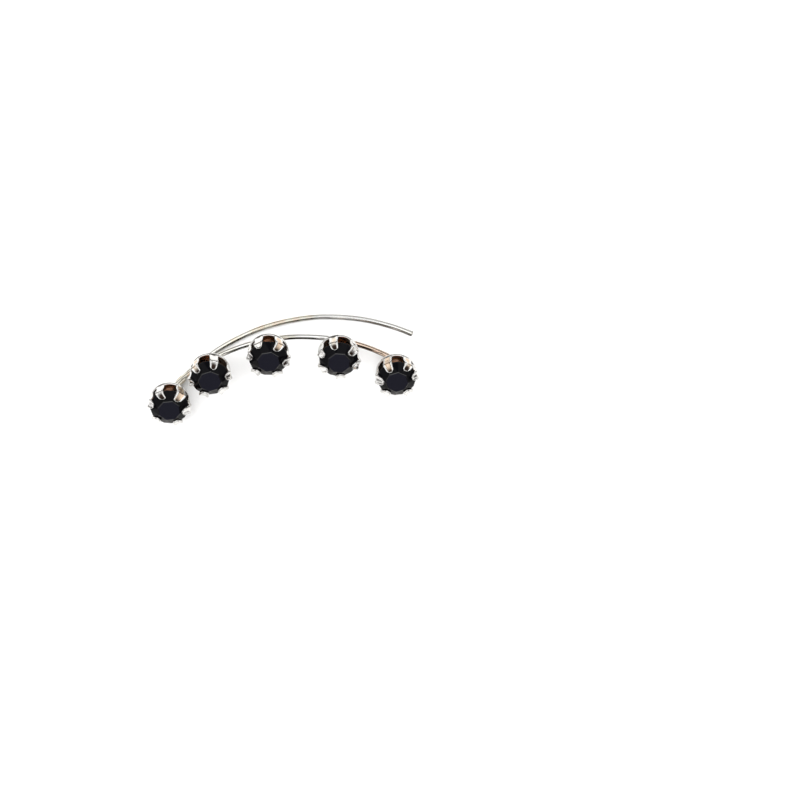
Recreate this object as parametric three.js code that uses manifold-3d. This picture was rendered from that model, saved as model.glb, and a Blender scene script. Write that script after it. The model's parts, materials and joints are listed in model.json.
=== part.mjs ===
import * as THREE from 'three';
import { ConvexGeometry } from 'three/addons/geometries/ConvexGeometry.js';
import { mergeVertices } from 'three/addons/utils/BufferGeometryUtils.js';
import Module from 'manifold-3d';

// Ear climber: five black chatons in six-claw crown settings, soldered in an arch on a front wire,
// with a thin ear pin that runs in a wider arc behind it. Millimetres, +Z up.
// It lies as it would on a table: the ear pin flat on the surface, and the arch of settings
// leaning towards -Y on the feet of its two end settings.
//
// The arch is drawn in a flat frame of its own: its centre at the origin, the stones' girdles in
// the XY plane, their axes along +Z, and angles counted clockwise from +Y.

const lean = THREE.MathUtils.degToRad(30);    // from the stones' axes to the vertical

// Wires
const wireRadius = 0.3;
const wireSides = 10;
const degreesPerStep = 2.4;
const archRadius = 19.2;                      // the front wire's centreline
const archEnds = [-43.0, 42.6];
const pinArcRadius = 23.1;
const pinCentre = { x: 3.0, y: -2.9 };        // from the arch's centre, on the table
const pinEnds = [-41.8, 30.8];
const solder = { angle: -37.2, length: 0.85, width: 0.42, height: 0.55 };

// Stones
const stoneRadius = 2.15;
const tableRadius = 1.24;
const crownHeight = 0.82;
const girdleHeight = 0.12;
const pavilionDepth = 1.75;
const tableSides = 8;

// Settings: depths run from the middle of the girdle, back along the stone's axis
const fitGap = 0.05;                          // between a stone and its metal
const wireDepth = 3.4;
const footDepth = 3.25;
const footRadius = 1.0;
const footEase = 0.15;                        // bevel round the foot
const floorThickness = 0.35;
const wallThickness = 0.25;
const bowlRadius = 1.96;                      // top of the flared bowl, under the bead
const beadRadius = 2.26;
const beadDepth = 1.5;
const beadHeight = 0.3;
const beadEase = 0.05;                        // how far the bead's edges draw in
const cupSides = 24;
const clawsPerSetting = 6;
const clawWidth = 0.92;
const clawThickness = 0.22;
const clawReach = 0.62;                       // how far a claw folds in over its stone
const clawShoulder = 0.12;                    // size of the rounding where it folds
const seatDepth = 0.36;                       // lower end of the notch that carries the girdle

// angle: place on the arch. seat: how far the stone's axis stands outside the wire's arc.
// turn: of the claws about the stone's axis, in degrees.
const settings = [
  { angle: -42.6, seat: 0.0, turn: 43 },
  { angle: -24.8, seat: -0.2, turn: 12 },
  { angle: -3.8, seat: -0.35, turn: 48 },
  { angle: 20.0, seat: -0.5, turn: 33 },
  { angle: 41.3, seat: -0.3, turn: 56 },
];

const silver = { color: 0xd9d6d0, roughness: 0.16, metalness: 1.0 };
const jetGlass = { color: 0x14141c, roughness: 0.06, metalness: 0.0 };

const wasm = await Module();
wasm.setup();

function toSolid(geometry) {
  const bare = geometry.clone();
  bare.deleteAttribute('normal');
  bare.deleteAttribute('uv');
  const merged = mergeVertices(bare, 1e-4);
  const triangles = [];
  for (let i = 0; i < merged.index.count; i += 3) {
    const [a, b, c] = merged.index.array.slice(i, i + 3);
    if (a !== b && b !== c && c !== a) triangles.push(a, b, c);
  }
  return new wasm.Manifold(new wasm.Mesh({
    numProp: 3,
    vertProperties: new Float32Array(merged.attributes.position.array),
    triVerts: new Uint32Array(triangles),
  }));
}

function toGeometry(solid) {
  const mesh = solid.getMesh();
  const geometry = new THREE.BufferGeometry();
  geometry.setAttribute('position', new THREE.BufferAttribute(mesh.vertProperties, 3));
  geometry.setIndex(new THREE.BufferAttribute(mesh.triVerts, 1));
  geometry.computeVertexNormals();
  return geometry;
}

function onArc(radius, degrees) {
  const angle = THREE.MathUtils.degToRad(degrees);
  return new THREE.Vector3(radius * Math.sin(angle), radius * Math.cos(angle), 0);
}

class Arc extends THREE.Curve {
  constructor(radius, ends) {
    super();
    this.radius = radius;
    this.ends = ends;
  }

  getPoint(t) {
    return onArc(this.radius, THREE.MathUtils.lerp(this.ends[0], this.ends[1], t));
  }
}

function roundWire(radius, ends) {
  const corners = [];
  for (let i = 0; i < wireSides; i += 1) {
    const angle = (2 * Math.PI * (i + 0.5)) / wireSides;
    corners.push(new THREE.Vector2(wireRadius * Math.cos(angle), wireRadius * Math.sin(angle)));
  }
  return new THREE.ExtrudeGeometry(new THREE.Shape(corners), {
    steps: Math.round((ends[1] - ends[0]) / degreesPerStep),
    extrudePath: new Arc(radius, ends),
  });
}

// A hollow cup round +Y: foot, flared bowl and the bead round its rim. The claws stand on the bead,
// and between them the back of the stone is open to view.
function cup() {
  const profile = [
    [0, -footDepth],
    [footRadius, -footDepth],
    [footRadius + footEase, -footDepth + footEase],
    [bowlRadius, -beadDepth - beadHeight],
    [beadRadius - beadEase, -beadDepth - beadHeight / 2],
    [beadRadius, -beadDepth],
    [beadRadius - beadEase, -beadDepth + beadHeight / 2],
    [beadRadius - wallThickness, -beadDepth + beadHeight / 2],
    [beadRadius - wallThickness - beadEase, -beadDepth],
    [footRadius, -footDepth + floorThickness],
    [0, -footDepth + floorThickness],
  ];
  return new THREE.LatheGeometry(profile.map(([r, y]) => new THREE.Vector2(r, y)), cupSides);
}

// One claw, out along +X, with the stone's axis along +Y. It rises from the bead, is notched to
// carry the girdle, and folds in over the crown.
function claw() {
  const inner = stoneRadius + fitGap;
  const outer = inner + clawThickness;
  const fold = girdleHeight / 2 + fitGap;
  const slope = Math.atan2(crownHeight, stoneRadius - tableRadius);
  const backSlope = Math.atan2(pavilionDepth, stoneRadius);
  const backRadius = stoneRadius + fitGap / Math.sin(backSlope);
  const notchTop = girdleHeight / 2 + (backRadius - inner) * Math.tan(backSlope);
  const seatRadius = backRadius - (seatDepth - girdleHeight / 2) / Math.tan(backSlope);
  const tip = new THREE.Vector2(inner - clawReach, fold + clawReach * Math.tan(slope));
  const tipTop = new THREE.Vector2(Math.sin(slope), Math.cos(slope)).multiplyScalar(clawThickness).add(tip);
  const side = new THREE.Shape([
    new THREE.Vector2(beadRadius - clawThickness, -beadDepth),
    new THREE.Vector2(beadRadius, -beadDepth),
    new THREE.Vector2(outer, -girdleHeight),
    new THREE.Vector2(outer, fold),
    new THREE.Vector2(outer - clawShoulder / 3, fold + clawShoulder),
    new THREE.Vector2(outer - clawShoulder, fold + 2 * clawShoulder),
    tipTop,
    new THREE.Vector2(tip.x - clawThickness / 4, (tip.y + tipTop.y) / 2),
    tip,
    new THREE.Vector2(inner, fold),
    new THREE.Vector2(inner, -notchTop),
    new THREE.Vector2(seatRadius, -seatDepth),
  ]);
  const geometry = new THREE.ExtrudeGeometry(side, { depth: clawWidth, bevelEnabled: false });
  return geometry.translate(0, 0, -clawWidth / 2);
}

function crownSetting() {
  let solid = toSolid(cup());
  for (let i = 0; i < clawsPerSetting; i += 1) {
    solid = solid.add(toSolid(claw().rotateY((2 * Math.PI * i) / clawsPerSetting)));
  }
  return toGeometry(solid);
}

// A round stone with an octagonal table, its axis along +Y.
function chaton() {
  const points = [new THREE.Vector3(0, -girdleHeight / 2 - pavilionDepth, 0)];
  const addRing = (radius, y, sides, shift) => {
    for (let i = 0; i < sides; i += 1) {
      const angle = (2 * Math.PI * (i + shift)) / sides;
      points.push(new THREE.Vector3(radius * Math.cos(angle), y, radius * Math.sin(angle)));
    }
  };
  addRing(tableRadius, girdleHeight / 2 + crownHeight, tableSides, 0.5);
  addRing(stoneRadius, girdleHeight / 2, 2 * tableSides, 0);
  addRing(stoneRadius, -girdleHeight / 2, 2 * tableSides, 0);
  return new ConvexGeometry(points);
}

// From a stone's own frame, axis +Y, to its place on the flat arch.
function settingMatrix({ angle, seat, turn }) {
  const place = onArc(archRadius + seat, angle);
  return new THREE.Matrix4()
    .makeTranslation(place)
    .multiply(new THREE.Matrix4().makeRotationX(Math.PI / 2))
    .multiply(new THREE.Matrix4().makeRotationY(THREE.MathUtils.degToRad(turn)));
}

// From the flat arch to its leaning place, with the lower of the two end feet on the table.
function leaningMatrix() {
  const feet = settings.map(({ angle, seat }) => {
    const along = onArc(archRadius + seat, angle).y - footRadius;
    return along * Math.sin(lean) - footDepth * Math.cos(lean);
  });
  return new THREE.Matrix4()
    .makeTranslation(0, 0, -Math.min(...feet))
    .multiply(new THREE.Matrix4().makeRotationX(lean));
}

// The solder fills the corner where the ear pin leaves the front wire.
function solderLump(leaning) {
  const onWire = onArc(archRadius, solder.angle).setZ(-wireDepth).applyMatrix4(leaning);
  const centre = new THREE.Vector3(onWire.x, onWire.y, (onWire.z + wireRadius) / 2);
  return new THREE.SphereGeometry(1, 12, 8)
    .scale(solder.length, solder.width, solder.height)
    .rotateZ(THREE.MathUtils.degToRad(-solder.angle))
    .translate(centre.x, centre.y, centre.z);
}

function silverFrame(leaning) {
  const frontWire = roundWire(archRadius, archEnds).translate(0, 0, -wireDepth).applyMatrix4(leaning);
  const earPin = roundWire(pinArcRadius, pinEnds).translate(pinCentre.x, pinCentre.y, wireRadius);
  const crown = crownSetting();
  let solid = toSolid(frontWire).add(toSolid(earPin)).add(toSolid(solderLump(leaning)));
  for (const row of settings) {
    const placed = crown.clone().applyMatrix4(settingMatrix(row)).applyMatrix4(leaning);
    solid = solid.add(toSolid(placed));
  }
  return toGeometry(solid);
}

function named(name, geometry, look) {
  const mesh = new THREE.Mesh(geometry, new THREE.MeshStandardMaterial(look));
  mesh.name = name;
  return mesh;
}

function earClimber() {
  const group = new THREE.Group();
  const leaning = leaningMatrix();
  group.add(named('silver_frame', silverFrame(leaning), silver));
  settings.forEach((row, i) => {
    const stone = named(`stone_${i + 1}`, chaton(), jetGlass);
    stone.applyMatrix4(leaning.clone().multiply(settingMatrix(row)));
    group.add(stone);
  });
  // The origin is the middle of the underside of the whole climber's box.
  const box = new THREE.Box3().setFromObject(group, true);
  const centre = box.getCenter(new THREE.Vector3());
  group.position.set(-centre.x, -centre.y, -box.min.z);
  return group;
}

export default earClimber();
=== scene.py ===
import json
import math
import random

import bpy
from mathutils import Matrix, Vector, noise


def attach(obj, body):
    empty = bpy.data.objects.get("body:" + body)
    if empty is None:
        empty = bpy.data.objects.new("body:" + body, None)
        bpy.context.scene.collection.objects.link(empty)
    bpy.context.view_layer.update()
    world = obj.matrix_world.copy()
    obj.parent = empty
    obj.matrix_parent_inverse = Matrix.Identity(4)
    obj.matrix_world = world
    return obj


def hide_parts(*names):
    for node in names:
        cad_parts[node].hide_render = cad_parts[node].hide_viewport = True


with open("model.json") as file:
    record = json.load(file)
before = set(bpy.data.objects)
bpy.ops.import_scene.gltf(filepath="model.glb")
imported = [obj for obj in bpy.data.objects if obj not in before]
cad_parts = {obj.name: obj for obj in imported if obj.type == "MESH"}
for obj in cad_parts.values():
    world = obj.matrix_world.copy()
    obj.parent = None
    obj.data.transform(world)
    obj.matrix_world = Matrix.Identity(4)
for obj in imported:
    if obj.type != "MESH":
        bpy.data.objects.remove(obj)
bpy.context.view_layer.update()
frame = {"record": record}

mounts = {mount["name"]: mount for mount in frame["record"]["mounts"]}

# Ear climber: five jet chatons in crown settings on a front wire, and a thin ear pin.
# Sizes are millimetres and angles degrees. Each piece is shaped in its own small frame and brought
# to its place, in metres, by placePiece.

mm = 0.001
upright = Vector((0, 0, 1))

arch = {
    "lean": 30.0,               # of the stones' axes from the vertical, towards -Y
    "radius": 19.2,             # of the front wire
    "ends": (-43.0, 42.6),      # clockwise from the arch's top
    "wireDepth": 3.4,           # from the girdles back to the front wire
}
pin = {
    "radius": 23.1,
    "centre": (3.0, -2.9),      # from the arch's centre, on the table
    "ends": (-41.8, 30.8),
}
wire = {
    "radius": 0.3,
    "fullness": 0.99,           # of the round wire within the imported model's faceted one
    "sides": 28,
    "step": 0.4,
    "waver": 0.025,             # how far a hand-bent wire strays from its arc
    "waverPace": 0.12,          # and how fast, for each degree
    "weld": 0.002,              # closes the ends, where a ring has no radius
    "grainSpread": 3.0,         # of the drawn lines round the wire
    "overallDirt": 0.08,
    "paintedFlankShade": 0.7,           # painted shade along the sides, where the flanks mirror dark surroundings
    "backShare": 0.7,           # of that on the back
    "frontFrom": (-0.85, -0.5),     # share that the surface faces down where the band starts, in front
    "backFrom": (-0.68, -0.18),     # at the back
    "flankTo": (-0.05, 0.4),        # and where the band ends
    "endDirt": 0.6,             # more towards a cut end
    "endLength": 1.3,
}

# angle: place on the arch. seat: of the stone outside the wire's arc. turn: of the first claw.
# warmth: of the thin tarnish over the whole setting. glow: a thin warm tone inside its cup, which paints in
# the foil back's warm reflection.
# The rest has a value for each claw. sway: how far it stands from an even spacing. reach: how much
# longer than usual it is. bend: how far its tip is pushed sideways. breadth: share of the usual
# one. The last two: how much thick and thin tone fills its hollow: tarnish, with painted dark and
# tan reflections set one claw at a time.
settings = [
    {"angle": -42.6, "seat": 0.0, "turn": 43, "warmth": 0.12, "glow": 0.5,
     "sway": (2, 7, -6, -5, 5, 3),
     "reach": (0.45, 0.38, 0.1, 0.25, 0.4, 0.45),
     "bend": (0.22, -0.3, 0.0, 0.0, 0.0, 0.0),
     "breadth": (1.1, 0.88, 1.0, 0.9, 0.88, 1.05),
     "soil": (0.75, 1.2, 0.2, 0.1, 0.1, 0.2),
     "tan": (0.9, 0.15, 0.0, 0.0, 0.0, 0.1)},
    {"angle": -24.8, "seat": -0.2, "turn": 12, "warmth": 0.18, "glow": 0.75,
     "sway": (-8, -2, -2, -9, -8, -5),
     "reach": (0.12, 0.4, 0.3, 0.1, 0.4, 0.42),
     "bend": (0.05, -0.05, -0.1, 0.0, 0.0, 0.05),
     "breadth": (1.0, 0.92, 0.9, 0.9, 1.05, 1.1),
     "soil": (0.8, 1.2, 1.0, 0.3, 0.1, 0.1),
     "tan": (0.0, 0.15, 0.5, 0.2, 0.0, 0.0)},
    {"angle": -3.8, "seat": -0.35, "turn": 48, "warmth": 0.12, "glow": 0.75,
     "sway": (1, 4, -8, -6, 2, -3),
     "reach": (0.38, -0.05, 0.1, 0.25, 0.42, 0.3),
     "bend": (0.26, 0.05, 0.0, 0.0, 0.0, -0.05),
     "breadth": (1.0, 0.95, 0.95, 0.95, 1.1, 1.05),
     "soil": (1.0, 0.3, 0.9, 0.1, 0.1, 1.2),
     "tan": (0.8, 0.1, 0.1, 0.0, 0.0, 0.1)},
    {"angle": 20.0, "seat": -0.5, "turn": 33, "warmth": 0.1, "glow": 0.9,
     "sway": (-2, 5, -6, -10, -5, 4),
     "reach": (0.4, 0.22, 0.12, 0.42, 0.42, 0.34),
     "bend": (0.2, -0.05, 0.0, 0.0, 0.0, 0.0),
     "breadth": (1.05, 0.95, 0.9, 1.05, 1.0, 1.1),
     "soil": (1.1, 1.3, 0.5, 0.2, 0.1, 0.4),
     "tan": (0.15, 0.4, 0.1, 0.0, 0.0, 0.1)},
    {"angle": 41.3, "seat": -0.3, "turn": 56, "warmth": 0.2, "glow": 0.35,
     "sway": (-8, -5, -5, -9, 5, 10),
     "reach": (0.26, 0.44, 0.45, 0.36, 0.4, 0.2),
     "bend": (0.16, 0.0, 0.05, 0.0, 0.0, 0.0),
     "breadth": (1.0, 1.0, 1.1, 0.95, 0.95, 1.0),
     "soil": (1.2, 0.95, 0.2, 0.1, 0.1, 0.4),
     "tan": (0.6, 1.0, 0.0, 0.0, 0.0, 0.1)},
]


def onArc(radius, degrees):
    angle = math.radians(degrees)
    return Vector((radius * math.sin(angle), radius * math.cos(angle), 0))


def footHeight(row):
    lean = math.radians(arch["lean"])
    along = onArc(arch["radius"] + row["seat"], row["angle"]).y - crown["footRadius"]
    return along * math.sin(lean) - crown["footDepth"] * math.cos(lean)


# From the table's frame and the flat arch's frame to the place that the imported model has.
def findPlaces():
    tip = Vector(mounts["pin_tip"]["pos_m"]) / mm
    drawnTip = Vector((*pin["centre"], wire["radius"])) + onArc(pin["radius"], pin["ends"][1])
    table = Matrix.Translation(tip - drawnTip)
    lift = -min(footHeight(row) for row in settings)
    leaning = Matrix.Translation((0, 0, lift)) @ Matrix.Rotation(math.radians(arch["lean"]), 4, "X")
    return table, table @ leaning


def settingPlace(row):
    place = onArc(arch["radius"] + row["seat"], row["angle"])
    return archPlace @ Matrix.Translation(place) @ Matrix.Rotation(math.radians(row["turn"]), 4, "Z")


def newMesh(name, points, faces, floats=None):
    mesh = bpy.data.meshes.new(name)
    mesh.from_pydata([tuple(point) for point in points], [], faces)
    mesh.validate()
    for label, values in (floats or {}).items():
        mesh.attributes.new(label, "FLOAT", "POINT").data.foreach_set("value", values)
    return mesh


def newObject(name, mesh, material=None):
    piece = bpy.data.objects.new(name, mesh)
    bpy.context.scene.collection.objects.link(piece)
    if material:
        mesh.materials.append(material)
    return piece


# Turns the modifiers on a piece into its mesh.
def applyModifiers(piece):
    graph = bpy.context.evaluated_depsgraph_get()
    graph.update()
    mesh = bpy.data.meshes.new_from_object(piece.evaluated_get(graph))
    piece.modifiers.clear()
    piece.data = mesh


def placePiece(piece, place, node):
    piece.data.transform(Matrix.Scale(mm, 4) @ place)
    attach(piece, "root")
    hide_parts(node)
    return piece


def shadeSmooth(piece):
    piece.data.polygons.foreach_set("use_smooth", [True] * len(piece.data.polygons))


def fillSockets(tree, node, values):
    for socket, value in values.items():
        if isinstance(value, bpy.types.NodeSocket):
            tree.links.new(value, node.inputs[socket])
        else:
            node.inputs[socket].default_value = value


def addNode(tree, kind, inputs=None, **options):
    node = tree.nodes.new("ShaderNode" + kind)
    for option, value in options.items():
        setattr(node, option, value)
    fillSockets(tree, node, inputs or {})
    return node


def useGroup(tree, group, inputs):
    return addNode(tree, "Group", inputs, node_tree=group).outputs


def newGroup(name, inputs, outputs):
    group = bpy.data.node_groups.new(name, "ShaderNodeTree")
    for label, kind, value in inputs:
        socket = group.interface.new_socket(label, in_out="INPUT", socket_type="NodeSocket" + kind)
        if value is not None:
            socket.default_value = value
    for label, kind in outputs:
        group.interface.new_socket(label, in_out="OUTPUT", socket_type="NodeSocket" + kind)
    given = group.nodes.new("NodeGroupInput").outputs
    result = group.nodes.new("NodeGroupOutput").inputs
    return group, given, result


def mathNode(tree, operation, first, second=0.0, third=0.0):
    node = addNode(tree, "Math", {0: first, 1: second, 2: third}, operation=operation)
    return node.outputs[0]


# A smooth rise from 0 to 1 as value goes from low to high.
def smoothRise(tree, value, low, high):
    inputs = {"Value": value, "From Min": low, "From Max": high}
    return addNode(tree, "MapRange", inputs, interpolation_type="SMOOTHSTEP").outputs["Result"]


def below(tree, value, low, high):
    return mathNode(tree, "SUBTRACT", 1.0, smoothRise(tree, value, low, high))


def mixColours(tree, factor, first, second):
    return addNode(tree, "Mix", {0: factor, 6: first, 7: second}, data_type="RGBA").outputs[2]


def noiseNode(tree, vector, scale, detail=3.0, rough=0.55):
    inputs = {"Vector": vector, "Scale": scale, "Detail": detail, "Roughness": rough}
    return addNode(tree, "TexNoise", inputs).outputs["Fac"]


def attributeNode(tree, label):
    return addNode(tree, "Attribute", attribute_name=label)


tarnishing = {
    "patches": 0.7,             # how unevenly it spreads
    "thin": (0.15, 0.95),       # from no colour to the full thin one, as the warmth rises
    "straw": (0.0, 0.55),       # the shares of that where the metal turns straw
    "copper": (0.3, 0.9),       # and where the straw turns copper
    "brown": (0.42, 0.95),      # from bare to thick, as the recess and the painted shade deepen
}


# Where metal is bare it keeps its own colour. Tarnish starts in the recesses and creeps out in
# patches: straw yellow at first, then copper, and brown where it is thick. The same brown also
# carries painted shade, and the warm tones carry painted reflections.
def makeTarnish():
    group, given, result = newGroup(
        "tarnish",
        [("Vector", "Vector", None), ("Metal", "Color", (0.95, 0.93, 0.9, 1)),
         ("Straw", "Color", (0.93, 0.88, 0.74, 1)), ("Thin", "Color", (0.86, 0.66, 0.47, 1)),
         ("Thick", "Color", (0.13, 0.065, 0.04, 1)),
         ("RecessAndShade", "Float", 0.0), ("Warmth", "Float", 0.3), ("Scale", "Float", 900.0)],
        [("Color", "Color"), ("Mask", "Float")])
    patches = noiseNode(group, given["Vector"], given["Scale"], 4.0, 0.6)
    spread = mathNode(group, "MULTIPLY_ADD", patches, tarnishing["patches"], -tarnishing["patches"] / 2)
    depth = mathNode(group, "ADD", given["RecessAndShade"], spread)
    warmth = mathNode(group, "ADD", given["Warmth"], spread)
    thick = smoothRise(group, depth, *tarnishing["brown"])
    thin = smoothRise(group, warmth, *tarnishing["thin"])
    toned = mixColours(group, smoothRise(group, thin, *tarnishing["copper"]), given["Straw"], given["Thin"])
    toned = mixColours(group, smoothRise(group, thin, *tarnishing["straw"]), given["Metal"], toned)
    group.links.new(mixColours(group, thick, toned, given["Thick"]), result["Color"])
    group.links.new(thick, result["Mask"])
    return group


# Fine lines: long along the vector's X, close together across it.
def makeDrawLines():
    group, given, result = newGroup(
        "drawLines",
        [("Vector", "Vector", None), ("Lines", "Float", 14.0), ("Length", "Float", 0.25)],
        [("Height", "Float")])
    stretch = addNode(group, "CombineXYZ", {"X": given["Length"], "Y": given["Lines"], "Z": given["Lines"]})
    vector = addNode(group, "VectorMath", {0: given["Vector"], 1: stretch.outputs[0]}, operation="MULTIPLY")
    group.links.new(noiseNode(group, vector.outputs[0], 1.0, 2.0), result["Height"])
    return group


# Roughness that wanders between two values, as fingers and cloths leave it.
def makeHandling():
    group, given, result = newGroup(
        "handling",
        [("Vector", "Vector", None), ("Scale", "Float", 600.0),
         ("Polished", "Float", 0.06), ("Worn", "Float", 0.18)],
        [("Roughness", "Float")])
    marks = noiseNode(group, given["Vector"], given["Scale"], 5.0, 0.65)
    amount = smoothRise(group, marks, 0.38, 0.68)
    span = {"Value": amount, "To Min": given["Polished"], "To Max": given["Worn"]}
    group.links.new(addNode(group, "MapRange", span).outputs["Result"], result["Roughness"])
    return group


tarnish = makeTarnish()
drawLines = makeDrawLines()
handling = makeHandling()


def newMaterial(name):
    material = bpy.data.materials.new(name)
    material.use_nodes = True
    tree = material.node_tree
    shader = tree.nodes["Principled BSDF"]
    place = addNode(tree, "TexCoord").outputs["Object"]
    return material, tree, shader, place


def makeSilver(name, look):
    material, tree, shader, place = newMaterial(name)
    toned = useGroup(tree, tarnish, {
        "Vector": place, "Metal": look["metal"], "Straw": look["straw"], "Thin": look["thin"],
        "Thick": look["thick"],
        "RecessAndShade": attributeNode(tree, "recessAndShade").outputs["Fac"],
        "Warmth": attributeNode(tree, "warmth").outputs["Fac"], "Scale": look["patchScale"]})
    worn = useGroup(tree, handling, {"Vector": place, "Scale": look["markScale"],
                                     "Polished": look["polished"], "Worn": look["worn"]})
    lines = useGroup(tree, drawLines, {
        "Vector": attributeNode(tree, "grain").outputs["Vector"],
        "Lines": look["lines"], "Length": look["lineLength"]})
    rough = mathNode(tree, "MULTIPLY_ADD", toned["Mask"], look["tarnishRoughness"], worn["Roughness"])
    bump = addNode(tree, "Bump", {"Strength": look["lineStrength"], "Distance": look["lineDepth"] * mm,
                                  "Height": lines["Height"]})
    fillSockets(tree, shader, {"Base Color": toned["Color"], "Metallic": 1.0, "Roughness": rough,
                               "Normal": bump.outputs["Normal"]})
    return material


wireSilverLook = {
    "metal": (0.97, 0.965, 0.95, 1), "straw": (0.94, 0.91, 0.78, 1), "thin": (0.92, 0.73, 0.59, 1),
    "thick": (0.035, 0.026, 0.02, 1),
    "patchScale": 520.0, "markScale": 700.0, "polished": 0.05, "worn": 0.16, "tarnishRoughness": 0.2,
    "lines": 16.0, "lineLength": 0.3, "lineStrength": 0.35, "lineDepth": 0.012,
}
crownSilverLook = {
    "metal": (0.97, 0.965, 0.955, 1), "straw": (0.95, 0.9, 0.8, 1), "thin": (0.86, 0.68, 0.52, 1),
    "thick": (0.035, 0.022, 0.017, 1),
    "patchScale": 1100.0, "markScale": 1300.0, "polished": 0.05, "worn": 0.17, "tarnishRoughness": 0.22,
    "lines": 9.0, "lineLength": 2.0, "lineStrength": 0.3, "lineDepth": 0.012,
}
solderLook = {
    "metal": (0.86, 0.85, 0.81, 1), "straw": (0.84, 0.79, 0.64, 1), "thin": (0.74, 0.63, 0.47, 1),
    "thick": (0.2, 0.13, 0.08, 1),
    "patchScale": 1500.0, "markScale": 1800.0, "polished": 0.16, "worn": 0.34, "tarnishRoughness": 0.15,
    "lines": 5.0, "lineLength": 4.0, "lineStrength": 0.6, "lineDepth": 0.03,
}
wireSilver = makeSilver("wireSilver", wireSilverLook)
crownSilver = makeSilver("crownSilver", crownSilverLook)
solderSilver = makeSilver("solderSilver", solderLook)


# The table is painted a lighter navy than the crown round it: painted light on the table.
def makeJetGlass(name, look, specular):
    material, tree, shader, place = newMaterial(name)
    worn = useGroup(tree, handling, {"Vector": place, "Scale": look["smudgeScale"],
                                     "Polished": look["polished"], "Worn": look["smudged"]})
    cloud = noiseNode(tree, place, look["cloudScale"], 2.0)
    crownColour = mixColours(tree, cloud, look["dark"], look["light"])
    onTable = attributeNode(tree, "table").outputs["Fac"]
    colour = mixColours(tree, onTable, crownColour, look["table"])
    fillSockets(tree, shader, {"Base Color": colour, "Metallic": 0.0, "Roughness": worn["Roughness"],
                               "IOR": look["ior"], "Specular IOR Level": specular})
    return material


def makeFoil(look):
    material, tree, shader, place = newMaterial("lacqueredFoil")
    flecks = addNode(tree, "TexVoronoi", {"Vector": place, "Scale": look["fleckScale"]})
    fleck = smoothRise(tree, flecks.outputs["Distance"], *look["fleckFade"])
    colour = mixColours(tree, fleck, look["bright"], look["dull"])
    worn = useGroup(tree, handling, {"Vector": place, "Scale": look["markScale"],
                                     "Polished": look["polished"], "Worn": look["worn"]})
    bump = addNode(tree, "Bump", {"Strength": look["fleckStrength"], "Distance": look["fleckHeight"] * mm,
                                  "Height": fleck})
    fillSockets(tree, shader, {"Base Color": colour, "Metallic": look["metallic"],
                               "Roughness": worn["Roughness"], "Normal": bump.outputs["Normal"]})
    return material


jetGlassLook = {
    "dark": (0.001, 0.001, 0.0014, 1), "light": (0.0024, 0.0024, 0.0034, 1), "cloudScale": 500.0,
    # table: the painted light on the table face.
    "table": (0.0098, 0.0098, 0.0145, 1), "smudgeScale": 900.0, "polished": 0.02, "smudged": 0.08,
    "ior": 1.55, "specular": 0.065, "edgeSpecular": 0.9,
}
jetGlass = makeJetGlass("jetGlass", jetGlassLook, jetGlassLook["specular"])
polishedEdge = makeJetGlass("polishedEdge", jetGlassLook, jetGlassLook["edgeSpecular"])
lacqueredFoil = makeFoil({
    "bright": (0.64, 0.29, 0.14, 1), "dull": (0.40, 0.17, 0.09, 1), "fleckScale": 9000.0,
    "fleckFade": (0.0, 0.7), "fleckHeight": 0.01, "fleckStrength": 0.3,
    "markScale": 1500.0, "polished": 0.25, "worn": 0.45, "metallic": 0.6,
})
print("materials made")


crown = {
    "footRadius": 1.0,
    "footDepth": 3.25,
    "clawCells": 12,            # across a claw
    "notchCells": 6,            # between two claws
    "halfWidth": 0.54,          # of a claw
    "breadths": (0.97, 1.03),   # least and most of it that chance gives a claw
    "rimRadius": 2.26,          # where a claw's breadth is measured off
    "cornerClimb": (0.05, 0.14),    # how far the cup's wall climbs beside a claw: below its rim, at it
    "sheet": 0.22,              # thickness of a claw
    "dish": 0.06,               # hollow pressed along a claw
    "lip": 0.07,                # and its raised edges
    "lipFrom": (0.4, 0.67),     # where they rise, as shares of the half width
    "sag": 0.047,               # how far a claw's back curves round the stone
    "fold": (2.296, 0.296),     # radius and height where a claw has turned in over the crown
    "foldSlope": 42.0,
    "foldLength": 0.80,
    "foldCells": 8,
    "foldDirtAndShade": (0.45, 0.95),   # tarnish and painted shade in the hollow where the fold starts, and the rise to its tip
    "foldDish": (0.7, 0.3),     # share of the hollow's depth at the fold's ends, and more midway
    "bendEase": 1.5,            # how late along the fold a sideways bend sets in
    "taper": 0.38,              # lost breadth along the fold
    "thinning": 0.07,           # and lost thickness
    "unevenness": 0.03,         # of the claws' lengths
    "patchiness": 0.22,         # of the thin tarnish over a setting
    "patchScale": 0.6,
    "patchDrift": (7.3, 1.7),   # keeps two settings from having the same patches
}
cupDirtAndShade = {
    "top": -1.0,                # height where the cup ends and the backs of the claws begin
    "clawBacks": 0.1,           # wiped by the stone
    "floor": 0.45,
    "underBeadShade": 0.45,          # painted shade, more than the floor has
    "underBeadFrom": (-2.3, -1.6),
    "sides": 0.3,               # more again at the two sides
    "sidesFrom": (0.35, 0.8),
}
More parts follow.
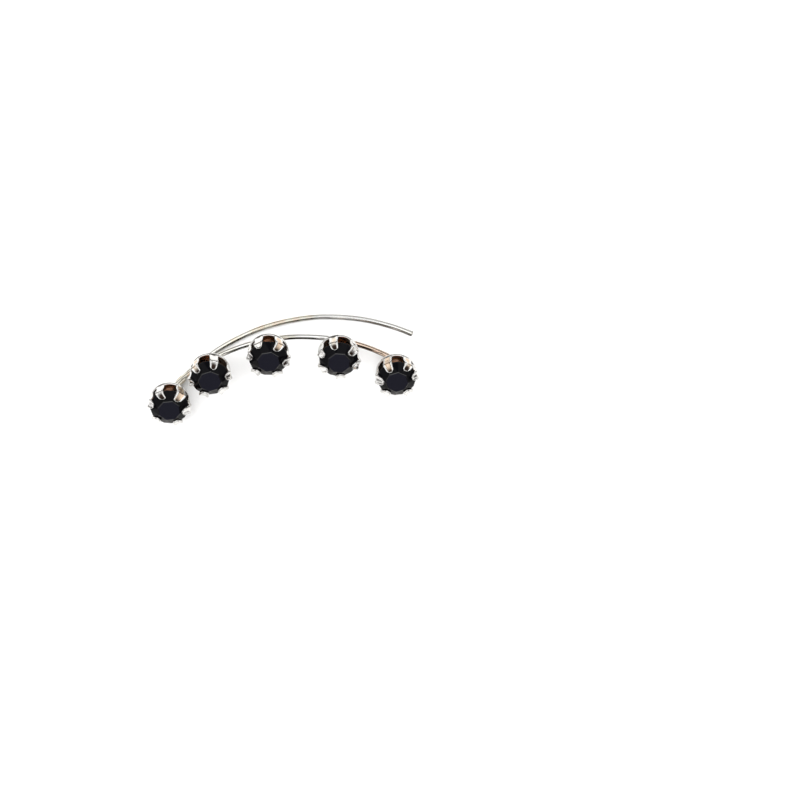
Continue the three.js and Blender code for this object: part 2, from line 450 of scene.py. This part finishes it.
# The cup's wall, from the middle of its foot to its rim.
# out, deep: radius and depth outside. inn, floor: the same inside. The last column: how far tarnish has
# built up.
cupWall = [
    {"out": 0.00, "deep": 3.25, "inn": 0.00, "floor": 2.95, "dirtAndShade": 0.3},
    {"out": 0.45, "deep": 3.25, "inn": 0.40, "floor": 2.95, "dirtAndShade": 0.3},
    {"out": 0.90, "deep": 3.25, "inn": 0.72, "floor": 2.95, "dirtAndShade": 0.3},
    {"out": 1.05, "deep": 3.19, "inn": 0.86, "floor": 2.91, "dirtAndShade": 0.3},
    {"out": 1.13, "deep": 3.06, "inn": 0.94, "floor": 2.82, "dirtAndShade": 0.35},
    {"out": 1.32, "deep": 2.72, "inn": 1.12, "floor": 2.55, "dirtAndShade": 0.2},
    {"out": 1.55, "deep": 2.36, "inn": 1.34, "floor": 2.22, "dirtAndShade": 0.1},
    {"out": 1.79, "deep": 2.03, "inn": 1.56, "floor": 1.93, "dirtAndShade": 0.2},
    {"out": 1.94, "deep": 1.86, "inn": 1.70, "floor": 1.76, "dirtAndShade": 0.6},
    {"out": 2.03, "deep": 1.79, "inn": 1.79, "floor": 1.67, "dirtAndShade": 0.75},
    {"out": 2.16, "deep": 1.72, "inn": 1.86, "floor": 1.59, "dirtAndShade": 0.8},
    {"out": 2.24, "deep": 1.62, "inn": 1.91, "floor": 1.52, "dirtAndShade": 0.5},
    {"out": 2.26, "deep": 1.50, "inn": 1.95, "floor": 1.45, "dirtAndShade": 0.0},
    {"out": 2.235, "deep": 1.40, "inn": 1.98, "floor": 1.38, "dirtAndShade": 0.1},
    {"out": 2.18, "deep": 1.33, "inn": 2.01, "floor": 1.32, "dirtAndShade": 0.35},
]
# Up the outside of a claw, from the rim to its fold. dish: share of the hollow's full depth.
# The third column: share of the tarnish and painted shade in the claw's hollow.
clawLine = [
    {"out": 2.16, "up": -1.14, "dirtAndShade": 0.3, "dish": 0.15},
    {"out": 2.145, "up": -0.88, "dirtAndShade": 0.3, "dish": 0.4},
    {"out": 2.15, "up": -0.64, "dirtAndShade": 0.3, "dish": 0.6},
    {"out": 2.20, "up": -0.40, "dirtAndShade": 0.35, "dish": 0.7},
    {"out": 2.29, "up": -0.20, "dirtAndShade": 0.3, "dish": 0.6},
    {"out": 2.37, "up": -0.06, "dirtAndShade": 0.3, "dish": 0.5},
    {"out": 2.395, "up": 0.073, "dirtAndShade": 0.3, "dish": 0.5},
    {"out": 2.383, "up": 0.156, "dirtAndShade": 0.35, "dish": 0.55},
    {"out": 2.349, "up": 0.232, "dirtAndShade": 0.4, "dish": 0.65},
]


# The columns of the cup: for each claw the cells across it, then the cells of the notch after it.
def crownColumns(row):
    edge = math.degrees(math.asin(crown["halfWidth"] / crown["rimRadius"]))
    middles = [60.0 * i + sway for i, sway in enumerate(row["sway"])]
    columns = []
    for i, middle in enumerate(middles):
        for j in range(crown["clawCells"] + 1):
            side = 2.0 * j / crown["clawCells"] - 1.0
            columns.append({"claw": i, "side": side, "angle": middle + side * edge, "corner": 0.0})
        following = middles[(i + 1) % len(middles)] + (360.0 if i + 1 == len(middles) else 0.0)
        start = middle + edge
        width = following - edge - start
        for j in range(1, crown["notchCells"]):
            share = j / crown["notchCells"]
            columns.append({"claw": None, "side": 0.0, "angle": start + share * width,
                            "corner": (2.0 * share - 1.0) ** 4})
    return columns, middles


def turned(radius, height, degrees):
    angle = math.radians(degrees)
    return Vector((radius * math.cos(angle), radius * math.sin(angle), height))


# The middle line of a claw: points outside with their normals and their share of tarnish and painted shade.
# round: how far the tip has rounded. fold: share of the way along the part that is turned in.
def clawSpine(reach):
    slope = math.radians(crown["foldSlope"])
    inward = Vector((-math.cos(slope), math.sin(slope)))
    spine = [{"at": Vector((p["out"], p["up"])), "dirtAndShade": p["dirtAndShade"], "round": 0.0, "dish": p["dish"],
              "fold": 0.0} for p in clawLine]
    straight = crown["foldLength"] + reach - crown["halfWidth"]
    dirtAndShade, moreDirtAndShade = crown["foldDirtAndShade"]
    dish, moreDish = crown["foldDish"]
    for i in range(crown["foldCells"] + 1):
        share = i / crown["foldCells"]
        if share <= 0.5:
            along, rounding = straight * share * 2.0, 0.0
        else:
            rounding = 2.0 * share - 1.0
            along = straight
        spine.append({"at": Vector(crown["fold"]) + inward * along, "dirtAndShade": dirtAndShade + moreDirtAndShade * share,
                      "round": rounding, "dish": dish + moreDish * math.sin(math.pi * share),
                      "fold": share})
    for i, point in enumerate(spine):
        before = spine[max(i - 1, 0)]["at"]
        after = spine[min(i + 1, len(spine) - 1)]["at"]
        along = inward if i >= len(clawLine) + 1 else (after - before).normalized()
        point["along"] = along
        point["normal"] = Vector((along.y, -along.x))
    return spine


def easeIn(value, low, high):
    share = max(0.0, min(1.0, (value - low) / (high - low)))
    return share * share * (3.0 - 2.0 * share)


# One point across a claw: side goes from -1 to 1. The end is drawn from a square onto a half circle.
def acrossClaw(point, side, halfWidth, soil, tan):
    rounding = point["round"]
    halfWidth *= 1.0 - crown["taper"] * point["fold"]
    across = side * halfWidth * math.sqrt(1.0 - rounding ** 2 / 2.0)
    forward = halfWidth * rounding * math.sqrt(1.0 - side ** 2 / 2.0)
    hollowed = (1.0 - easeIn(abs(side), *crown["lipFrom"])) * (1.0 - easeIn(rounding, *crown["lipFrom"]))
    rise = point["dish"] * (crown["lip"] - hollowed * (crown["lip"] + crown["dish"]))
    rise -= crown["thinning"] * point["fold"]
    outside = point["at"] + point["along"] * forward + point["normal"] * rise
    inside = point["at"] + point["along"] * forward
    inside -= point["normal"] * (crown["sheet"] + crown["sag"] * side ** 2 * (1.0 - point["fold"] / 2))
    # The marks: tarnish with painted shade, and a thin tone with painted tan reflection, both in the
    # hollow.
    return outside, inside, across, (soil * point["dirtAndShade"] * hollowed, tan * hollowed)


def crownGrid(row, seed):
    chance = random.Random(seed)
    columns, middles = crownColumns(row)
    outside, inside, marks, cells = {}, {}, {}, []
    rim = len(cupWall) - 1
    climb = {rim - 1: crown["cornerClimb"][0], rim: crown["cornerClimb"][1]}
    for i, wall in enumerate(cupWall):
        for j, column in enumerate(columns):
            key = (0, 0) if i == 0 else (i, j)
            rise = climb.get(i, 0.0) * column["corner"]
            outside[key] = turned(wall["out"], rise - wall["deep"], column["angle"])
            inside[key] = turned(wall["inn"], rise - wall["floor"], column["angle"])
            marks[key] = (wall["dirtAndShade"], 0.0)
    count = len(columns)
    for j in range(count):
        cells.append([(0, 0), (1, j), (1, (j + 1) % count)])
        for i in range(1, rim):
            cells.append([(i, j), (i + 1, j), (i + 1, (j + 1) % count), (i, (j + 1) % count)])
    spines = [clawSpine(reach + chance.uniform(-1, 1) * crown["unevenness"]) for reach in row["reach"]]
    widths = [crown["halfWidth"] * breadth * chance.uniform(*crown["breadths"])
              for breadth in row["breadth"]]
    for j, column in enumerate(columns):
        claw = column["claw"]
        if claw is None:
            continue
        middle = middles[claw]
        spine = spines[claw]
        for i, point in enumerate(spine):
            out, inn, across, mark = acrossClaw(point, column["side"], widths[claw],
                                                row["soil"][claw], row["tan"][claw])
            across += row["bend"][claw] * point["fold"] ** crown["bendEase"]
            sideways = turned(across, 0, middle + 90.0)
            key = (rim + 1 + i, j)
            outside[key] = turned(out.x, out.y, middle) + sideways
            inside[key] = turned(inn.x, inn.y, middle) + sideways
            marks[key] = mark
        if column["side"] < 1.0:
            for i in range(rim, rim + len(spine)):
                cells.append([(i, j), (i + 1, j), (i + 1, j + 1), (i, j + 1)])
    return outside, inside, marks, cells


# A closed sheet from its two faces: the inside is the outside's cells turned over, and a rim is
# laid wherever a cell's edge has no neighbour.
def closeSheet(outside, inside, marks, cells, row):
    keys = list(outside)
    index = {key: i for i, key in enumerate(keys)}
    points = [outside[key] for key in keys] + [inside[key] for key in keys]
    # Outside, the marks; inside, tarnish with painted shade under the bead.
    soil = [marks[key][0] for key in keys] + [insideDirtAndShade(inside[key], row["turn"]) for key in keys]
    # Thin tone in the claws' hollows: painted tan reflections on top of tarnish.
    tan = [marks[key][1] for key in keys]
    # Inside the cup, a warm tone painting in the foil back's reflection.
    tan += [row["glow"] * (inside[key].z < cupDirtAndShade["top"]) for key in keys]
    faces = []
    edges = set()
    for cell in cells:
        corners = [index[key] for key in cell]
        faces.append(corners[::-1])
        faces.append([corner + len(keys) for corner in corners])
        edges.update(zip(corners, corners[1:] + corners[:1]))
    for a, b in sorted(edges):
        if (b, a) not in edges:
            faces.append([a, b, b + len(keys), a + len(keys)])
    return points, faces, soil, tan


# Inside, the cup is tarnished, with painted shade in the corner under its bead and more darkening at
# its two sides; the backs of the claws are wiped by the stone.
def insideDirtAndShade(point, turn):
    if point.z > cupDirtAndShade["top"]:
        return cupDirtAndShade["clawBacks"]
    angle = math.atan2(point.y, point.x) + math.radians(turn)
    underBeadShade = cupDirtAndShade["underBeadShade"] * easeIn(point.z, *cupDirtAndShade["underBeadFrom"])
    atSide = cupDirtAndShade["sides"] * easeIn(abs(math.cos(angle)), *cupDirtAndShade["sidesFrom"])
    return cupDirtAndShade["floor"] + underBeadShade + atSide


def makeSetting(number, row):
    name = f"claw_setting_{number}"
    points, faces, soil, tan = closeSheet(*crownGrid(row, 40 + number), row)
    drift = Vector((crown["patchDrift"][0] * number, crown["patchDrift"][1], 0))
    patches = [crown["patchiness"] * noise.noise(point * crown["patchScale"] + drift) for point in points]
    # The thin tone adds the painted warm reflections of the claws and the cup to the setting's tarnish.
    warmth = [row["warmth"] + patch + extra for patch, extra in zip(patches, tan)]
    piece = newObject(name, newMesh(name, points, faces, {"recessAndShade": soil, "warmth": warmth}), crownSilver)
    grain = piece.data.attributes.new("grain", "FLOAT_VECTOR", "POINT")
    grain.data.foreach_set("vector", [value for point in points for value in point])
    shadeSmooth(piece)
    piece.modifiers.new("round", "SUBSURF").levels = 1
    applyModifiers(piece)
    return placePiece(piece, settingPlace(row), "silver_frame")


chaton = {
    "radius": 2.15,
    "tableRadius": 1.24,
    "crownHeight": 0.82,
    "girdle": 0.12,
    "pavilion": 1.75,
    "sides": 8,                 # of the table
    "edge": 0.08,               # width of the polished-off edge round the table
    "facetEdge": 0.4,           # share of it that the other edges have
    "edgeSegments": 2,
}
glassPart, foilPart, edgePart = range(3)    # a stone's materials, in their order


def chatonMesh(name):
    sides = chaton["sides"]
    half = chaton["girdle"] / 2
    step = 360.0 / sides
    top = half + chaton["crownHeight"]
    table = [turned(chaton["tableRadius"], top, (i + 0.5) * step) for i in range(sides)]
    upper = [turned(chaton["radius"], half, i * step / 2) for i in range(2 * sides)]
    lower = [turned(chaton["radius"], -half, i * step / 2) for i in range(2 * sides)]
    points = table + upper + lower + [Vector((0, 0, -half - chaton["pavilion"]))]
    girdle, belly, culet = sides, 3 * sides, 5 * sides
    faces = [list(range(sides))]
    for i in range(sides):
        following = (i + 1) % sides
        left = 2 * i + 1
        middle = (2 * i + 2) % (2 * sides)
        right = (2 * i + 3) % (2 * sides)
        faces.append([i, girdle + left, girdle + middle])
        faces.append([i, girdle + middle, following])
        faces.append([following, girdle + middle, girdle + right])
    backs = []
    for i in range(2 * sides):
        following = (i + 1) % (2 * sides)
        faces.append([girdle + i, belly + i, belly + following, girdle + following])
        backs.append([belly + i, culet, belly + following])
    mesh = newMesh(name, points, faces + backs)
    onTable = [1.0] + [0.0] * (len(mesh.polygons) - 1)
    mesh.attributes.new("table", "FLOAT", "FACE").data.foreach_set("value", onTable)
    widths = [1.0 if max(edge.vertices) < sides else chaton["facetEdge"] for edge in mesh.edges]
    mesh.attributes.new("bevel_weight_edge", "FLOAT", "EDGE").data.foreach_set("value", widths)
    for material in (jetGlass, lacqueredFoil, polishedEdge):
        mesh.materials.append(material)
    for face in list(mesh.polygons)[len(faces):]:
        face.material_index = foilPart
    return mesh


def makeChaton(number, row):
    name = f"chaton_{number}"
    piece = newObject(name, chatonMesh(name))
    shadeSmooth(piece)
    edges = piece.modifiers.new("edges", "BEVEL")
    edges.width = chaton["edge"]
    edges.segments = chaton["edgeSegments"]
    edges.limit_method = "WEIGHT"
    edges.harden_normals = True
    edges.material = edgePart
    applyModifiers(piece)
    # Only the edge round the table stays polished.
    half = chaton["girdle"] / 2
    for face in piece.data.polygons:
        if face.center.z < -half:
            face.material_index = foilPart
        elif face.center.z < half + chaton["crownHeight"] - chaton["edge"]:
            face.material_index = glassPart
    return placePiece(piece, settingPlace(row), f"stone_{number}")


# The tones along a wire. warmth: how far it has gone from white to copper at that angle.
# The last column: how much more painted shade than usual lies along its flanks there.
frontTones = [
    {"angle": -43, "warmth": 0.45, "dirtAndShade": 1.0}, {"angle": -30, "warmth": 0.5, "dirtAndShade": 1.0},
    {"angle": -16, "warmth": 0.35, "dirtAndShade": 1.1}, {"angle": -6, "warmth": 0.4, "dirtAndShade": 1.2},
    {"angle": 2, "warmth": 0.5, "dirtAndShade": 1.5}, {"angle": 8, "warmth": 0.35, "dirtAndShade": 1.6},
    {"angle": 12, "warmth": 0.1, "dirtAndShade": 1.6}, {"angle": 22, "warmth": 0.3, "dirtAndShade": 1.4},
    {"angle": 28, "warmth": 0.95, "dirtAndShade": 1.3}, {"angle": 36, "warmth": 0.9, "dirtAndShade": 1.3},
    {"angle": 43, "warmth": 0.5, "dirtAndShade": 1.2},
]
pinTones = [
    {"angle": -42, "warmth": 0.45, "dirtAndShade": 1.0}, {"angle": -28, "warmth": 0.35, "dirtAndShade": 1.0},
    {"angle": -16, "warmth": 0.45, "dirtAndShade": 1.1}, {"angle": -8, "warmth": 0.6, "dirtAndShade": 1.0},
    {"angle": 2, "warmth": 0.45, "dirtAndShade": 1.1}, {"angle": 10, "warmth": 0.2, "dirtAndShade": 1.4},
    {"angle": 18, "warmth": 0.1, "dirtAndShade": 1.7}, {"angle": 26, "warmth": 0.3, "dirtAndShade": 1.7},
    {"angle": 31, "warmth": 0.5, "dirtAndShade": 1.7},
]


def readTable(table, angle, column):
    for low, high in zip(table, table[1:]):
        if angle <= high["angle"]:
            share = (angle - low["angle"]) / (high["angle"] - low["angle"])
            return low[column] + max(0.0, share) * (high[column] - low[column])
    return table[-1][column]


# The rings of a wire at one end: how far back from the end, and the share of the full radius.
filedEnd = [(0.0, 0.0), (0.0, 0.5), (0.0, 0.86), (0.02, 0.95), (0.07, 1.0)]


def wireRings(radius, ends):
    perMm = math.degrees(1.0 / radius)
    first = [(ends[0] + back * perMm, share) for back, share in filedEnd]
    last = [(ends[1] - back * perMm, share) for back, share in reversed(filedEnd)]
    steps = round((ends[1] - ends[0]) / wire["step"])
    span = last[0][0] - first[-1][0]
    between = [(first[-1][0] + span * i / steps, 1.0) for i in range(1, steps)]
    return first + between + last


# A band of painted shade along each flank, narrower and thinner at the back. The top and the underside stay
# bright.
def paintedFlankShade(normal):
    if normal.y < 0:
        band = easeIn(-normal.z, *wire["frontFrom"])
    else:
        band = wire["backShare"] * easeIn(-normal.z, *wire["backFrom"])
    return wire["paintedFlankShade"] * band * (1.0 - easeIn(-normal.z, *wire["flankTo"]))


def weldPoints(piece):
    weld = piece.modifiers.new("weld", "WELD")
    weld.merge_threshold = wire["weld"]
    applyModifiers(piece)


def makeWire(name, radius, ends, table, place, seed):
    rings = wireRings(radius, ends)
    points, soil, warmth, grain, faces = [], [], [], [], []
    sides = wire["sides"]
    facing = place.to_3x3()
    for angle, share in rings:
        stray = wire["waver"] * noise.noise(Vector((angle * wire["waverPace"], seed, 0)))
        outwards = onArc(1.0, angle)
        middle = onArc(radius + stray, angle)
        thick = wire["radius"] * wire["fullness"] * share
        fromEnd = math.radians(min(angle - ends[0], ends[1] - angle)) * radius
        endDirt = wire["endDirt"] * max(0.0, 1.0 - fromEnd / wire["endLength"])
        for i in range(sides):
            turn = 2 * math.pi * i / sides
            points.append(middle + outwards * thick * math.cos(turn) + upright * thick * math.sin(turn))
            # Tarnish all over and towards the cut ends, with painted shade along the flanks.
            flank = paintedFlankShade(facing @ (outwards * math.cos(turn) + upright * math.sin(turn)))
            soil.append(wire["overallDirt"] + flank * readTable(table, angle, "dirtAndShade") + endDirt)
            warmth.append(readTable(table, angle, "warmth"))
            grain.extend((math.radians(angle) * radius, turn * wire["radius"] * wire["grainSpread"], seed))
    for i in range(len(rings) - 1):
        for j in range(sides):
            following = (j + 1) % sides
            a, b = i * sides + j, i * sides + following
            faces.append([a, b, b + sides, a + sides])
    mesh = newMesh(name, points, faces, {"recessAndShade": soil, "warmth": warmth})
    mesh.attributes.new("grain", "FLOAT_VECTOR", "POINT").data.foreach_set("vector", grain)
    piece = newObject(name, mesh, wireSilver)
    weldPoints(piece)
    shadeSmooth(piece)
    return placePiece(piece, place, "silver_frame")


solder = {
    "voxel": 0.045,
    "smoothing": 14,
    "pinAngle": -37.2,
    "pinSizes": (0.85, 0.42, 0.55),
    "footSizes": (0.78, 0.42, 0.34),
    "footLift": 0.02,           # from the wire's middle towards the cup
    "lumps": 0.03,
    "lumpScale": 2.2,
    "clear": 0.01,              # filed flat this far above the table
    "dirtAndShade": 0.25,
    "warmth": 0.6,
}


def ellipsoid(middle, sizes, turn, rings=12, sides=20):
    spin = Matrix.Rotation(math.radians(turn), 3, "Z")
    points = [Vector((0, 0, 1))]
    for i in range(1, rings):
        tilt = math.pi * i / rings
        for j in range(sides):
            points.append(turned(math.sin(tilt), math.cos(tilt), 360.0 * j / sides))
    points.append(Vector((0, 0, -1)))
    faces = []
    for j in range(sides):
        following = (j + 1) % sides
        faces.append([0, 1 + j, 1 + following])
        for i in range(rings - 2):
            a, b = 1 + i * sides + j, 1 + i * sides + following
            faces.append([a, a + sides, b + sides, b])
        low = 1 + (rings - 2) * sides
        faces.append([low + j, len(points) - 1, low + following])
    scaled = [middle + spin @ Vector([a * b for a, b in zip(point, sizes)]) for point in points]
    return scaled, faces


# Melted metal: a blob is given an even skin, then smoothed and made a little lumpy.
def makeSolder(name, points, faces, place, seed):
    piece = newObject(name, newMesh(name, points, faces))
    skin = piece.modifiers.new("skin", "REMESH")
    skin.mode = "VOXEL"
    skin.voxel_size = solder["voxel"]
    melt = piece.modifiers.new("melt", "SMOOTH")
    melt.iterations = solder["smoothing"]
    applyModifiers(piece)
    mesh = piece.data
    for vertex in mesh.vertices:
        lump = noise.noise(vertex.co * solder["lumpScale"] + Vector((seed, 0, 0)))
        vertex.co += vertex.normal * solder["lumps"] * lump
    count = len(mesh.vertices)
    for label, value in (("recessAndShade", solder["dirtAndShade"]), ("warmth", solder["warmth"])):
        mesh.attributes.new(label, "FLOAT", "POINT").data.foreach_set("value", [value] * count)
    grain = mesh.attributes.new("grain", "FLOAT_VECTOR", "POINT")
    grain.data.foreach_set("vector", [value for vertex in mesh.vertices for value in vertex.co])
    mesh.materials.append(solderSilver)
    shadeSmooth(piece)
    placePiece(piece, place, "silver_frame")
    for vertex in piece.data.vertices:
        vertex.co.z = max(vertex.co.z, solder["clear"] * mm)
    return piece


def makePinSolder():
    angle = solder["pinAngle"]
    onWire = onArc(arch["radius"], angle) - upright * arch["wireDepth"]
    inTable = tablePlace.inverted() @ archPlace @ onWire
    middle = Vector((inTable.x, inTable.y, (inTable.z + wire["radius"]) / 2))
    points, faces = ellipsoid(middle, solder["pinSizes"], -angle)
    return makeSolder("pin_solder", points, faces, tablePlace, 3.0)


def makeFootSolder(number, row):
    middle = onArc(arch["radius"], row["angle"]) - upright * (arch["wireDepth"] - solder["footLift"])
    points, faces = ellipsoid(middle, solder["footSizes"], -row["angle"])
    return makeSolder(f"foot_solder_{number}", points, faces, archPlace, 10.0 + number)


tablePlace, archPlace = findPlaces()
for number, row in enumerate(settings, 1):
    makeSetting(number, row)
    makeChaton(number, row)
    makeFootSolder(number, row)
print("settings and chatons made")
frontPlace = archPlace @ Matrix.Translation((0, 0, -arch["wireDepth"]))
makeWire("front_wire", arch["radius"], arch["ends"], frontTones, frontPlace, 1.0)
pinPlace = tablePlace @ Matrix.Translation((*pin["centre"], wire["radius"]))
makeWire("ear_pin", pin["radius"], pin["ends"], pinTones, pinPlace, 5.0)
makePinSolder()
print("wires and solder made")


studio = {
    "floorSize": 6000,
    "floorDrop": 0.02,
    "floorColour": (0.88, 0.88, 0.88, 1),
    "floorPaler": 1.01,         # where its faint grain is palest
    "floorGrain": 30.0,
    "floorRoughness": 0.9,
    "floorGloss": 0.1,
    # In the metal's reflections the floor is painted grey near the climber and nearly black far off:
    # painted shade.
    "floorInMetal": (0.57, 0.565, 0.555, 1),
    "farFloorInMetal": (0.03, 0.025, 0.02, 1),
    "nearFloor": (14, 30),      # where the floor darkens in the metal's reflections, along Y
    "nearFloorShape": (0.36, 1, 1),
    "pale": (1.0, 1.0, 1.0, 1),
    "overhead": (1.15, 1.15, 1.14, 1),
    "sides": (0.85, 0.84, 0.83, 1),
    "horizon": (0.3, 0.29, 0.28, 1),
    "shade": (0.012, 0.01, 0.009, 1),
    "backShade": (0.1, 0.095, 0.09, 1),
    "patch": (0.14, 0.13, 0.12, 1),
    "patchTowards": (0, 0.476, 0.880),
    "patchEdge": (0.975, 0.992),    # from here on: where one part of the room's light gives way to the next
    "horizonEdge": (0.02, 0.3),
    "sidesEdge": (0.5, 0.85),
    "backEdge": (0.1, 0.5),
    "backTop": (0.5, 0.68),
    "frontEdge": (0.3, 0.62),
    "frontTop": (0.9, 0.965),
    "leastLevel": 0.05,             # keeps straight up from dividing by nothing
}
lamps = [
    {"name": "overhead", "at": (-150, 200, 900), "size": 2200, "watts": 33.0, "aim": (0, 0, 0)},
]
view = {
    "lens": 100.0,
    "sensor": 36.0,
    "width": 88.0,              # what the picture takes in at the stones' height
    "stonesHeight": 3.4,
    "middle": (12.39, -4.90),   # of the picture, from the climber's middle
    "roll": 7.02,
    "tilt": -2.2,
}


def makeFloor():
    half = studio["floorSize"] / 2
    corners = [(-half, -half, 0), (half, -half, 0), (half, half, 0), (-half, half, 0)]
    material, tree, shader, place = newMaterial("paleFloor")
    grain = noiseNode(tree, place, studio["floorGrain"])
    paler = tuple(min(1.0, value * studio["floorPaler"]) for value in studio["floorColour"][:3]) + (1,)
    colour = mixColours(tree, grain, studio["floorColour"], paler)
    shaped = addNode(tree, "VectorMath", {0: place, 1: studio["nearFloorShape"]}, operation="MULTIPLY")
    away = addNode(tree, "VectorMath", {0: shaped.outputs[0]}, operation="LENGTH").outputs["Value"]
    far = smoothRise(tree, away, studio["nearFloor"][0] * mm, studio["nearFloor"][1] * mm)
    # Painted shade: the floor as the metal mirrors it.
    inMetal = mixColours(tree, far, studio["floorInMetal"], studio["farFloorInMetal"])
    mirrored = addNode(tree, "LightPath").outputs["Is Glossy Ray"]
    colour = mixColours(tree, mirrored, colour, inMetal)
    fillSockets(tree, shader, {"Base Color": colour, "Roughness": studio["floorRoughness"],
                               "Specular IOR Level": studio["floorGloss"]})
    floor = newObject("floor", newMesh("floor", corners, [[0, 1, 2, 3]]), material)
    floor.data.transform(Matrix.Translation((0, 0, -studio["floorDrop"] * mm)) @ Matrix.Scale(mm, 4))


# Bright overhead and at the sides, and dark low in front and behind, so that the metal's edges are
# drawn. What the camera sees straight on is plain and pale.
def makeWorld():
    world = bpy.data.worlds.new("studio")
    bpy.context.scene.world = world
    world.use_nodes = True
    tree = world.node_tree
    tree.nodes.clear()
    direction = addNode(tree, "TexCoord").outputs["Generated"]
    east, north, up = addNode(tree, "SeparateXYZ", {0: direction}).outputs
    across = mathNode(tree, "ABSOLUTE", east)
    level = mathNode(tree, "SQRT", mathNode(tree, "SUBTRACT", 1.0, mathNode(tree, "MULTIPLY", up, up)))
    behind = mathNode(tree, "DIVIDE", north, mathNode(tree, "MAXIMUM", level, studio["leastLevel"]))
    inFront = mathNode(tree, "MULTIPLY", behind, -1.0)
    patch = addNode(tree, "VectorMath", {0: direction, 1: studio["patchTowards"]}, operation="DOT_PRODUCT")
    lowBehind = mathNode(tree, "MULTIPLY", smoothRise(tree, behind, *studio["backEdge"]),
                         below(tree, up, *studio["backTop"]))
    lowInFront = mathNode(tree, "MULTIPLY", smoothRise(tree, inFront, *studio["frontEdge"]),
                          below(tree, up, *studio["frontTop"]))
    layers = [
        (smoothRise(tree, patch.outputs["Value"], *studio["patchEdge"]), studio["patch"]),
        (below(tree, up, *studio["horizonEdge"]), studio["horizon"]),
        (smoothRise(tree, across, *studio["sidesEdge"]), studio["sides"]),
        (lowBehind, studio["backShade"]),
        (lowInFront, studio["shade"]),
    ]
    colour = studio["overhead"]
    for mask, layer in layers:
        colour = mixColours(tree, mask, colour, layer)
    lit = addNode(tree, "Background", {"Color": colour})
    seen = addNode(tree, "Background", {"Color": studio["pale"]})
    ray = addNode(tree, "LightPath").outputs["Is Camera Ray"]
    mixed = addNode(tree, "MixShader", {0: ray, 1: lit.outputs[0], 2: seen.outputs[0]})
    output = addNode(tree, "OutputWorld")
    tree.links.new(mixed.outputs[0], output.inputs["Surface"])


def aimAt(thing, at, aim):
    thing.location = Vector(at) * mm
    thing.rotation_euler = (Vector(aim) - Vector(at)).to_track_quat("-Z", "Y").to_euler()


def makeLamps():
    for lamp in lamps:
        light = bpy.data.lights.new(lamp["name"], "AREA")
        light.size = lamp["size"] * mm
        light.energy = lamp["watts"]
        holder = bpy.data.objects.new(lamp["name"], light)
        bpy.context.scene.collection.objects.link(holder)
        holder.visible_camera = False
        holder.visible_glossy = False
        aimAt(holder, lamp["at"], lamp["aim"])


# Nearly straight above, looking down, so that the arch lies as it does seen from the front.
def makeCamera():
    lens = bpy.data.cameras.new("camera")
    lens.lens = view["lens"]
    lens.sensor_width = view["sensor"]
    lens.clip_start = 0.01
    camera = bpy.data.objects.new("camera", lens)
    bpy.context.scene.collection.objects.link(camera)
    distance = view["width"] * view["lens"] / view["sensor"]
    roll = Matrix.Rotation(math.radians(-view["roll"]), 4, "Z")
    turn = roll @ Matrix.Rotation(math.radians(view["tilt"]), 4, "X")
    target = Vector((*view["middle"], view["stonesHeight"]))
    camera.matrix_world = Matrix.Translation((target + turn @ (upright * distance)) * mm) @ turn
    bpy.context.scene.camera = camera


makeFloor()
makeWorld()
makeLamps()
makeCamera()
bpy.context.scene.view_settings.view_transform = "Standard"
print("studio made")
